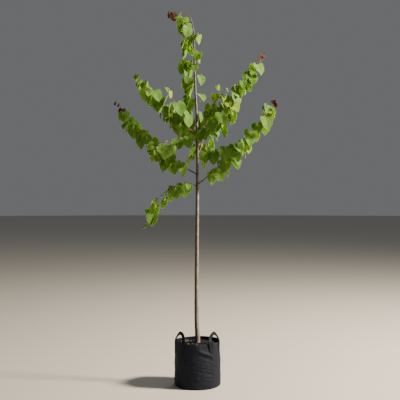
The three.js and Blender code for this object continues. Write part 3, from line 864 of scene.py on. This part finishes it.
def soil_height(x, y):
    """The compost's height inside the bag: lumpy, crumbly by 9 and 4 mm, and heaped at the trunk's foot."""
    radius, angle = math.hypot(x, y), math.atan2(y, x)
    edge = wall_radius(SOIL_TOP) - 4
    share = radius / edge
    free = smooth((radius - SOIL_FLAT) / SOIL_FLAT) * smooth((edge - radius) / 12)
    lumps = 4 * free * math.sin(5 * angle + radius / 17) * math.cos(3 * angle - radius / 23)
    fine = 2.4 * noise.noise(Vector((x / 9, y / 9, 0))) + 1.2 * noise.noise(Vector((x / 4, y / 4, 3)))
    heap = 3.5 * bell(radius - 22, 14)
    return SOIL_TOP - SOIL_EDGE_DROP * share * share + lumps + fine + heap


def compost_mesh():
    """The root ball: its section spun, with a crumbled top that follows the bag's slack wall."""
    side = [(wall_radius(z) - BAG_WALL - 0.8, z) for z in COMPOST_ROWS]
    edge, shoulder = side[-1]
    top = [(edge * ring / COMPOST_RINGS, SOIL_TOP) for ring in range(COMPOST_RINGS - 1, 0, -1)]
    bm = spun([(0, 6), (100, 6), *side, *top, (0, SOIL_TOP)], COMPOST_STEPS)
    for vert in bm.verts:
        radius, bearing = polar(vert.co)
        if vert.co.z >= shoulder:
            vert.co.z = soil_height(vert.co.x, vert.co.y)
        share = min(1.0, radius / wall_radius(vert.co.z))
        off = slack(bearing, vert.co.z) + min(0.0, fold(bearing, vert.co.z) - 1.5) - 0.5
        if radius > 1:
            grow = (radius + off * share**4) / radius
            vert.co.x *= grow
            vert.co.y *= grow
    return finished(bm, "compost")


def crumb_shape():
    bm = bmesh.new()
    bmesh.ops.create_icosphere(bm, subdivisions=1, radius=1)
    return shape_of(bm)


def scatter(name, kind):
    """Crumbs strewn on the compost: broken pebbles or flakes.

    None lies nearer to the trunk than the clear radius. The lean thins them out on the right.
    """
    random, crumb, pile = seeded(kind.seed), crumb_shape(), Pile()
    placed = 0
    while placed < kind.count:
        angle, radius = random() * math.tau, STREWN_REACH * math.sqrt(random())
        x, y = radius * math.cos(angle), radius * math.sin(angle)
        turn = Matrix.Rotation(random() * math.tau, 3, "Z") @ Matrix.Rotation((random() - 0.5) * 0.9, 3, "X")
        size = lerp(kind.smallest, kind.largest, random() ** 2) / 2
        squash = Vector((1, lerp(0.45, 0.8, random()), kind.flatness))
        jitter = [1 + 0.35 * (random() - 0.5) for _ in crumb.points]
        if radius < kind.clear or random() < kind.lean * smooth((x + 40) / 90):
            continue
        placed += 1
        middle = Vector((x, y, soil_height(x, y) + size * kind.flatness * 0.45))
        points = [middle + turn @ (spot * squash) * size * share for spot, share in zip(crumb.points, jitter)]
        pile.add(crumb, points)
    return pile.mesh(name)


# ---- trunk and boughs -------------------------------------------------------------------------


def trunk_centre(height):
    """The trunk's centre at a height above the soil, on a smooth line through the points of its lean."""
    last = len(TRUNK_LEAN) - 1
    after = next((j for j in range(1, last + 1) if TRUNK_LEAN[j].z >= height), last)
    low, high = TRUNK_LEAN[after - 1], TRUNK_LEAN[after]
    share = (height - low.z) / (high.z - low.z)
    before = TRUNK_LEAN[after - 2] if after > 1 else low * 2 - high
    beyond = TRUNK_LEAN[after + 1] if after < last else high * 2 - low
    steps = [math.sqrt((b - a).length) for a, b in ((before, low), (low, high), (high, beyond))]
    first = (low - before) / steps[0] - (high - before) / (steps[0] + steps[1]) + (high - low) / steps[1]
    second = (high - low) / steps[1] - (beyond - low) / (steps[1] + steps[2]) + (beyond - high) / steps[2]
    first, second = first * steps[1], second * steps[1]
    square = low * -3 + high * 3 - first * 2 - second
    cube = low * 2 - high * 2 + first + second
    return low + first * share + square * share**2 + cube * share**3


def trunk_radius(height):
    left = max(0.0, 1 - height / TRUNK_HEIGHT)
    taper = TRUNK_TIP + (TRUNK_FOOT - TRUNK_TIP) * left**TRUNK_TAPER
    return taper + FLARE * math.exp(-height / FLARE_HEIGHT)


def trunk_relief(depth):
    """The bark's relief: fissures, lumps, a lobed foot, collars under the boughs and healed pruning scars."""
    feet = [(bough.foot, bough.bearing) for bough in BOUGHS.values()]

    def relief(out, height, radius):
        bearing = math.degrees(math.atan2(out.y, out.x))
        around = out * radius
        fissure = noise.noise(Vector((around.x / 3.4, around.y / 3.4, height / 30)))
        lump = noise.noise(Vector((around.x / 22, around.y / 22, height / 55)))
        lobes = 1.7 * math.exp(-height / 34) * math.cos(math.radians(3 * bearing) + 0.9)
        swell = 0.0
        for foot, way in feet:
            towards = max(0.0, math.cos(math.radians(bearing - way)))
            swell = max(swell, (0.4 + 1.9 * towards) * bell(height - foot - 3, 15))
        for scar, way in SCARS:
            around_scar = math.radians(turned_off(bearing, way)) * radius
            away = math.hypot((height - scar) / 9, around_scar / 6.5)
            swell += 1.3 * bell(away - 1, 0.45) - 0.7 * bell(away, 0.6)
        return depth / MM * (fissure + lump * 0.9) + lobes + swell

    return relief


def bough_points(foot, form, internode):
    """The points of a shoot, one a joint, from its foot."""
    points = [foot.copy()]
    for j in range(form.joints):
        share = (j + 0.5) / form.joints
        way = heading(form.bearing + form.sweep * share, form.rise + form.lift * share)
        points.append(points[j] + way * internode)
    return points


def zigzag(points, bare):
    """Sets each joint after the bare ones to the left and right of the line by turns."""
    sides = [side_of(tangent_at(points, j)) for j in range(len(points))]
    for j in range(bare + 1, len(points) - 1):
        points[j] += sides[j] * (ZIGZAG if j % 2 else -ZIGZAG)


# ---- foliage ----------------------------------------------------------------------------------

Leaf = namedtuple("Leaf", "foot notch along facing size")
Shoot = namedtuple("Shoot", "points radius leaves is_twig")


def hang_leaf(foot, tangent, side, size, random):
    """A leaf's frame: where its stalk starts and its notch is, its midrib and the way it faces.

    The shares of each direction are those of the solids' rule.
    """
    out = side_of(tangent) * side
    away = Vector((foot.x, foot.y, 0)).normalized()

    def blend(ahead, outward, upward, outside, stray):
        wander = Vector([random() - 0.5 for _ in range(3)])
        return tangent * ahead + out * outward + UP * upward + away * outside + wander * stray

    stalk = blend(0.3, 1, -0.3, 0, 0.8).normalized()
    notch = foot + stalk * (PETIOLE * (0.6 + 0.4 * size) * (0.8 + 0.4 * random()))
    along = blend(0.1, 0.35, -1, 0.1, 0.8).normalized()
    facing = blend(0, 0.6, 0.5, 0.4, 1)
    facing = (facing - along * facing.dot(along)).normalized()
    if facing.dot(stalk) < 0:
        facing.negate()
    return Leaf(foot, notch, along, facing, size)


def twig_points(foot, tangent, side, joints=TWIG_JOINTS, internode=TWIG_INTERNODE):
    """A side twig's points, from a joint of a shoot and away from the joint's leaf."""
    way = (tangent * 0.7 - side_of(tangent) * (side * 0.8) + UP * 0.15).normalized()
    return [foot + way * (j * internode) for j in range(joints + 1)]


def grow(points, radius, youngest, random, is_twig=False):
    """A shoot with a leaf at each joint, and after it its side twigs, which grow by the same rule."""
    leaves, grown, last = [], [], len(points) - 1
    for j in range(1, last + 1):
        tangent = tangent_at(points, j)
        side = 1 if j % 2 else -1
        young = min(1, youngest + (1 - youngest) * (last - j) / YOUNG_JOINTS)
        size = (0.85 + 0.3 * random()) * young
        leaves.append((last - j, hang_leaf(points[j].lerp(points[j - 1], 0.06), tangent, side, size, random)))
        if j == last:
            foot = points[j].lerp(points[j - 1], 0.2)
            leaves.append((0, hang_leaf(foot, tangent, -side, size * 0.85, random)))
        if not is_twig and random() < TWIG_SHARE and j < last - 2:
            twig = twig_points(points[j], tangent, side)
            grown += grow(twig, TWIG_RADIUS, YOUNGEST["twig"], random, True)
    return [Shoot(points, radius, leaves, is_twig), *grown]


def fine_twigs(points, bare, share, random):
    """Finer twigs, one or two joints long, that carry the rule on between the leaves of a bough."""
    grown = []
    for j in range(bare + 1, len(points) - 2):
        wanted, joints = random(), 1 + int(random() * 2)
        if wanted < share:
            side = 1 if j % 2 else -1
            twig = twig_points(points[j], tangent_at(points, j), side, joints, FINE_INTERNODE)
            grown += grow(twig, FINE_RADIUS, FINE_YOUNGEST, random, True)
    return grown


def tree_shoots(share):
    """Every shoot of the tree, under the name of the node that it grows in."""
    shoots = {}
    for name, form in BOUGHS.items():
        points = bough_points(trunk_centre(form.foot), form, INTERNODE)
        zigzag(points, form.bare)
        youngest = YOUNGEST["drooping" if form.lift < -60 else "growing"]
        grown = grow(points[form.bare :], form.radius, youngest, seeded(form.seed))
        grown[0] = grown[0]._replace(points=points)
        finer = fine_twigs(points, form.bare, share, seeded(form.seed + FINE_SEED))
        shoots[f"foliage_{name}"] = grown + finer
    for nth, seed in enumerate(SPUR_SEEDS):
        height = lerp(SPUR_FROM, SPUR_TO, nth / (len(SPUR_SEEDS) - 1))
        rank, joints = SPUR_RANKS[nth % len(SPUR_RANKS)]
        bearing = rank + SPUR_SWAY * ((nth * GOLDEN) % 1 - 0.5)
        form = Bough(height, bearing, SPUR_RISE, 0, 0, joints, 0, SPUR_RADIUS, seed)
        points = bough_points(trunk_centre(height), form, SPUR_INTERNODE)
        shoots[f"spur_{nth + 1}"] = grow(points, SPUR_RADIUS, YOUNGEST["spur"], seeded(seed))
    points = bough_points(trunk_centre(TRUNK_HEIGHT), LEADER, INTERNODE)
    shoots["foliage_leader"] = grow(points, LEADER.radius, YOUNGEST["growing"], seeded(LEADER.seed))
    return shoots


def tone_of(name, shoot, from_tip, leaf, random):
    """Deals a leaf its tone: bronze at the growing tips, and lime and light, which are painted light, more
    often on the sunny right.
    """
    chance = random()
    if not shoot.is_twig and from_tip < BRONZE_JOINTS.get(name, 0):
        return "bronze"
    if not shoot.is_twig and from_tip < LIME_JOINTS.get(name, 0):
        return "lime"
    # Leaves that reach towards the key light, on the right, are dealt painted light more often.
    sunny = smooth((leaf.notch.x - leaf.foot.x) / 60 + 0.5)
    if chance < lerp(*LIME_SHARE, sunny):
        return "lime"
    if chance < lerp(*LIGHT_SHARE, sunny):
        return "light"
    # The deep tone, painted shade, is dealt at random.
    return "green" if chance < GREEN_SHARE else "deep"


def heart_reach(turn):
    """The heart outline: how far the blade reaches from its notch at a turn, in radians, from the midrib."""
    drip = 0.14 * math.exp(-((turn / 0.2) ** 2))
    return 0.47 + 0.34 * math.cos(turn) - 0.02 * math.cos(2 * turn) + 0.07 * math.cos(3 * turn) + drip


LeafShape = namedtuple("LeafShape", "shape turns rings veins")


def leaf_shape():
    """A flat heart of two skins that meet at the rim: right, forward and skin side, in leaf lengths."""
    turns = [-ray for ray in reversed(RAYS[1:])] + list(RAYS)
    bm = bmesh.new()
    bmesh.ops.create_grid(bm, x_segments=len(turns) - 1, y_segments=len(RINGS) - 1, size=1)
    layers = bm.verts.layers.float
    turn_layer, ring_layer, vein_layer = (layers.new(name) for name in ("turn", "ring", "vein"))
    for vert in bm.verts:
        nth = round((vert.co.x + 1) / 2 * (len(turns) - 1))
        turn, ring = math.radians(turns[nth]), RINGS[round((vert.co.y + 1) / 2 * (len(RINGS) - 1))]
        reach = heart_reach(turn) * ring
        vert.co = (reach * math.sin(turn), reach * math.cos(turn), 0)
        vert[turn_layer], vert[ring_layer] = turn, ring
        vert[vein_layer] = 1.0 if (nth - len(RAYS) + 1) % 2 == 0 else 0.0
    bmesh.ops.remove_doubles(bm, verts=bm.verts[:], dist=1e-6)
    bmesh.ops.recalc_face_normals(bm, faces=bm.faces[:])
    if sum(face.normal.z for face in bm.faces) < 0:
        bmesh.ops.reverse_faces(bm, faces=bm.faces[:])
    under = bmesh.ops.duplicate(bm, geom=bm.verts[:] + bm.edges[:] + bm.faces[:])["geom"]
    faces = [part for part in under if isinstance(part, bmesh.types.BMFace)]
    bmesh.ops.reverse_faces(bm, faces=faces)
    for face in faces:
        face.material_index = 1
    below = {part for part in under if isinstance(part, bmesh.types.BMVert)}
    for vert in bm.verts:
        ring = vert[ring_layer]
        inner = 0 if vert.is_boundary else 1
        vert.co.z = (-1 if vert in below else 1) * inner * (1 - 0.4 * ring)
    bmesh.ops.remove_doubles(bm, verts=bm.verts[:], dist=1e-6)
    marks = [(vert[turn_layer], vert[ring_layer], vert[vein_layer]) for vert in bm.verts]
    return LeafShape(shape_of(bm), *zip(*marks))


def add_leaf(pile, heart, leaf, settings, random):
    """A leaf in its place: folded on its midrib, curled, ribbed by its veins and waved at the rim."""
    length = LEAF_LENGTH * leaf.size
    across = leaf.along.cross(leaf.facing)
    crease = LEAF_FOLD * (0.5 + 0.9 * random()) + 0.25 * max(0.0, 0.6 - leaf.size)
    curl = LEAF_CURL * (0.4 + 1.3 * random())
    lean = (random() - 0.5) * 0.16
    phase = random() * math.tau
    wave = settings.rim_wave * (0.6 + 0.8 * random())
    half = settings.thickness / MM / 2
    flat = zip(heart.shape.points, heart.turns, heart.rings, heart.veins)
    points = []
    for (right, ahead, skin), turn, ring, vein in flat:
        bend = crease * abs(right) * (1 - 0.35 * ring * abs(math.sin(turn))) - curl * ahead * abs(ahead)
        bend += lean * right + wave * ring * ring * math.sin(3 * turn + phase)
        bend += 0.007 * ring * (1 - 0.4 * ring) * (-1 if vein else 1)
        place = leaf.notch + across * (right * length) + leaf.along * (ahead * length)
        points.append(place + leaf.facing * (bend * length + skin * half))
    pile.add(heart.shape, points, vein=heart.veins)


def add_petiole(pile, leaf):
    """A leaf's stalk, which droops a little and swells at both ends."""
    reach = (leaf.notch - leaf.foot).length
    middle = leaf.foot.lerp(leaf.notch, 0.55) + UP * reach * 0.07
    inside = leaf.notch + leaf.along * 1.5
    line = spline([leaf.foot, middle, inside], STALK_STEPS)
    last = len(line) - 1
    radii = []
    for j in range(last + 1):
        swell = max(0.0, 1 - 5 * min(j, last - j) / last)
        radii.append((0.75 + 0.35 * swell) * (0.7 + 0.3 * leaf.size))
    limb(pile, line, radii, STALK_SIDES)


def bud_shape():
    bm = bmesh.new()
    bmesh.ops.create_uvsphere(bm, u_segments=6, v_segments=4, radius=1)
    return shape_of(bm)


def add_bud(pile, bud, spot, way, size):
    """A pointed bud that leans away from the wood."""
    side = way.cross(UP).normalized() if abs(way.z) < 0.95 else Vector((1, 0, 0))
    other = way.cross(side)
    points = []
    for x, y, z in bud.points:
        slim = 1 - 0.3 * z
        points.append(spot + (side * x * slim + other * y * slim) * size * 0.5 + way * (z + 0.6) * size)
    grain = [(point - spot) * MM for point in points]
    pile.add(bud, points, grain=grain)


def joint_radii(rows, foot, wood):
    """Radii down a shoot, a little thicker at each joint, and at its foot where it leaves the trunk."""
    radii = []
    for row in range(rows):
        near = min(row % wood.steps, wood.steps - row % wood.steps) / wood.steps
        swell = 1 + 0.16 * bell(near, 0.14)
        collar = wood.collar * bell(row / wood.steps, 0.35)
        radii.append(lerp(foot, wood.tip, row / (rows - 1)) * swell + collar)
    return radii


def raised(points):
    """Points of the plant set on the soil."""
    return [point + UP * (SOIL_TOP + SEAT_GAP) for point in points]


def raised_leaf(leaf):
    foot, notch = raised([leaf.foot, leaf.notch])
    return leaf._replace(foot=foot, notch=notch)


def meets_trunk(leaf):
    """Whether a leaf's blade or stalk would pass through the trunk."""
    for share in (0.12, 0.35, 0.6, 0.9):
        spot = leaf.notch + leaf.along * (LEAF_LENGTH * leaf.size * share)
        centre = trunk_centre(min(TRUNK_HEIGHT, max(0.0, spot.z)))
        reach = trunk_radius(spot.z) + LEAF_LENGTH * leaf.size * 0.3 * abs(leaf.facing.z)
        if (Vector((spot.x, spot.y)) - Vector((centre.x, centre.y))).length < reach and spot.z < TRUNK_HEIGHT:
            return True
    return False


# ---- operators --------------------------------------------------------------------------------


class TREE_OT_stage(bpy.types.Operator):
    """Lay a pale floor, set soft lights round it and place the camera"""

    bl_idname = "tree.stage"
    bl_label = "Floor, light and camera"

    def execute(self, context):
        settings = context.scene.tree_stage
        bm = bmesh.new()
        bmesh.ops.create_circle(bm, segments=FLOOR_SIDES, radius=FLOOR_RADIUS, cap_ends=True)
        mesh = bpy.data.meshes.new("studio_floor")
        bm.to_mesh(mesh)
        bm.free()
        mesh.materials.append(matt_paint("floor_paint_matt", settings.floor))
        floor = bpy.data.objects.new("studio_floor", mesh)
        context.scene.collection.objects.link(floor)

        world = bpy.data.worlds.new("studio_air")
        context.scene.world = world
        world.use_nodes = True
        world.node_tree.nodes.clear()
        daylight = {"Color": opaque(linear("#eef1f4")), "Strength": AIR_STRENGTH}
        air = add(world.node_tree, "Background", daylight).outputs[0]
        add(world.node_tree, "OutputWorld", {"Surface": air})

        for name, lamp in LAMPS.items():
            data = bpy.data.lights.new(name, "AREA")
            data.shape, data.size, data.energy = "DISK", lamp.size, lamp.power
            data.color = linear(lamp.colour)
            light = bpy.data.objects.new(name, data)
            light.location = lamp.place
            light.rotation_euler = (LAMPS_AIM - light.location).to_track_quat("-Z", "Y").to_euler()
            context.scene.collection.objects.link(light)

        data = bpy.data.cameras.new("camera")
        data.lens, data.sensor_width = LENS, SENSOR
        camera = bpy.data.objects.new("camera", data)
        camera.location = (EYE_ASIDE, -settings.distance, settings.eye_height)
        camera.rotation_euler = (math.pi / 2, 0, 0)
        context.scene.collection.objects.link(camera)
        context.scene.camera = camera
        return {"FINISHED"}


class TREE_OT_bag(bpy.types.Operator):
    """Make the fabric bag with its hem, fold and creases, its webbing handles and their stitches"""

    bl_idname = "tree.bag"
    bl_label = "Fabric bag"

    def execute(self, context):
        settings = context.scene.tree_bag
        cloth = woven("woven_polypropylene_black", settings.cloth, tape=2.4, roughness=0.62)
        webbing = woven("polypropylene_webbing_black", settings.webbing, tape=1.8, roughness=0.55)
        thread = spun_thread("polyester_thread_black", linear("#1c1d20"))
        show(bag_mesh(settings.wrinkles), [cloth], ["bag"])
        show(hem_stitches(settings.wrinkles), [thread])
        for side, bearing in HANDLES.items():
            show(strap_mesh(f"strap_{side}", bearing), [webbing], [f"handle_{side}"])
        show(strap_stitches(), [thread])
        return {"FINISHED"}


class TREE_OT_compost(bpy.types.Operator):
    """Fill the bag with compost and strew crumbs, bark chips and pale grit on it"""

    bl_idname = "tree.compost"
    bl_label = "Compost"

    def execute(self, context):
        settings = context.scene.tree_bag
        peat = crumbly("peat_compost", settings.compost, linear("#1a1817"), lump=5.56)
        chip = crumbly("pine_bark_chips", linear("#1c1918"), linear("#2d2927"), lump=3.85)
        grit = crumbly("pale_perlite_grit", linear("#d1ccc4"), linear("#ebe8e2"), lump=3.33, roughness=0.9)
        show(compost_mesh(), [peat], ["root_ball"])
        for (name, kind), material in zip(STREWN.items(), (peat, chip, grit)):
            show(scatter(name, kind), [material], crisp=25)
        return {"FINISHED"}


class TREE_OT_trunk(bpy.types.Operator):
    """Make the trunk with its bark, foot, collars and scars"""

    bl_idname = "tree.trunk"
    bl_label = "Trunk"

    def execute(self, context):
        settings = context.scene.tree_bark
        # The trunk's bark is darkened on the side away from the key light: painted shade.
        skin = bark(
            "young_bark_grey_brown", settings.trunk, settings.pores, fissure=1.54, pore=6.67, painted_shade=0.85
        )
        rows = range(0, int(TRUNK_HEIGHT) + 1, TRUNK_ROW)
        pile = Pile()
        line = raised([trunk_centre(z) for z in rows])
        limb(pile, line, [trunk_radius(z) for z in rows], TRUNK_SIDES, trunk_relief(settings.relief))
        show(pile.mesh("trunk_bark"), [skin], ["trunk"])
        return {"FINISHED"}


class TREE_OT_crown(bpy.types.Operator):
    """Grow the boughs, twigs, buds, leaf stalks and leaves"""

    bl_idname = "tree.crown"
    bl_label = "Boughs and leaves"

    def execute(self, context):
        settings, wood = context.scene.tree_leaf, context.scene.tree_bark
        shoots = tree_shoots(settings.fine_twigs)
        self.grow_wood(shoots, wood)
        self.hang_leaves(shoots, settings)
        return {"FINISHED"}

    def grow_wood(self, shoots, settings):
        """Boughs in one piece and twigs in another, with a bud at each joint."""
        boughs, twigs, buds, bud = Pile(), Pile(), Pile(), bud_shape()

        def knobbly(out, along, radius):
            spot = Vector((out.x * radius / 2.2, out.y * radius / 2.2, along / 13)) + UP * radius
            return KNOB_RELIEF * noise.noise(spot)

        for name, grown in shoots.items():
            for shoot in grown:
                is_bough = not shoot.is_twig and name.removeprefix("foliage_") in BOUGHS
                wood, pile = (BOUGH_WOOD, boughs) if is_bough else (TWIG_WOOD, twigs)
                points = raised(shoot.points)
                line = spline(points, wood.steps)
                limb(pile, line, joint_radii(len(line), shoot.radius, wood), wood.sides, knobbly)
                for j in range(1, len(points)):
                    tangent = tangent_at(points, j)
                    side = side_of(tangent) * (1 if j % 2 else -1)
                    way = (tangent + side * 0.6).normalized() if j < len(points) - 1 else tangent
                    add_bud(buds, bud, points[j] + side * BUD_OUT, way, BUD_SIZE)
        young = bark("young_bark_red_brown", settings.bough, settings.pores, fissure=1.11, pore=4.35)
        green = bark("shoot_bark_brown_green", linear("#6b4f35"), linear("#a08a64"), fissure=0.91, pore=3.33)
        scale = bark("bud_scale_dark_red", linear("#4a2a20"), linear("#6b4433"), fissure=0.667, pore=2)
        show(boughs.mesh("boughs_bark"), [young], [f"bough_{name}" for name in BOUGHS])
        show(twigs.mesh("twigs_bark"), [green], shoots)
        show(buds.mesh("buds"), [scale])

    def hang_leaves(self, shoots, settings):
        """Leaves in one piece a tone, each with its upper and under skin, and their stalks in one more."""
        heart, random = leaf_shape(), seeded(LOOKS_SEED)
        piles = {tone: Pile() for tone in TONES}
        nodes = {tone: set() for tone in TONES}
        stalks = Pile()
        for name, grown in shoots.items():
            for shoot in grown:
                for from_tip, leaf in shoot.leaves:
                    tone = tone_of(name, shoot, from_tip, leaf, random)
                    if meets_trunk(leaf):
                        continue
                    placed = raised_leaf(leaf)
                    add_leaf(piles[tone], heart, placed, settings, random)
                    add_petiole(stalks, placed)
                    nodes[tone].add(name)
        stalk = bark("leaf_stalk_green_red", linear("#7a7a3c"), linear("#9a5a3c"), fissure=0.833, pore=3.33)
        show(stalks.mesh("leaf_stalks"), [stalk])
        for tone in TONES:
            # The deep tone's colour is painted shade, and the light and lime tones' colours are painted
            # light.
            colour = getattr(settings, tone)
            code, glow = (BRONZE_PALE, BRONZE_GLOW) if tone == "bronze" else (GREEN_PALE, GREEN_GLOW)
            pale = linear(code)
            upper = leaf_skin(f"leaf_upper_skin_{tone}", colour, tinted(colour, pale, VEIN_SHARE), 0.5, glow)
            under = leaf_skin(f"leaf_under_skin_{tone}", tinted(colour, pale, UNDER_SHARE), pale, 0.7, glow)
            show(piles[tone].mesh(f"leaves_{tone}"), [upper, under], sorted(nodes[tone]), crisp=70)


class TREE_PT_panel(bpy.types.Panel):
    """Lists the pieces of the tree and their settings"""

    bl_label = "Tree on its root ball"
    bl_idname = "TREE_PT_panel"
    bl_space_type = "VIEW_3D"
    bl_region_type = "UI"
    bl_category = "Tree"

    def draw(self, context):
        for step in OPERATORS:
            self.layout.operator(step.bl_idname)
        for name, group in SETTINGS.items():
            box = self.layout.box()
            for setting in group.__annotations__:
                box.prop(getattr(context.scene, name), setting)


OPERATORS = (TREE_OT_stage, TREE_OT_bag, TREE_OT_compost, TREE_OT_trunk, TREE_OT_crown)


def register():
    for group in SETTINGS.values():
        bpy.utils.register_class(group)
    for name, group in SETTINGS.items():
        setattr(bpy.types.Scene, name, bpy.props.PointerProperty(type=group))
    for made in (*OPERATORS, TREE_PT_panel):
        bpy.utils.register_class(made)


def unregister():
    for made in reversed((*OPERATORS, TREE_PT_panel)):
        bpy.utils.unregister_class(made)
    for name, group in reversed(SETTINGS.items()):
        delattr(bpy.types.Scene, name)
        bpy.utils.unregister_class(group)


def main():
    register()
    bpy.ops.tree.stage()
    bpy.ops.tree.bag()
    bpy.ops.tree.compost()
    bpy.ops.tree.trunk()
    bpy.ops.tree.crown()


if __name__ == "__main__":
    main()
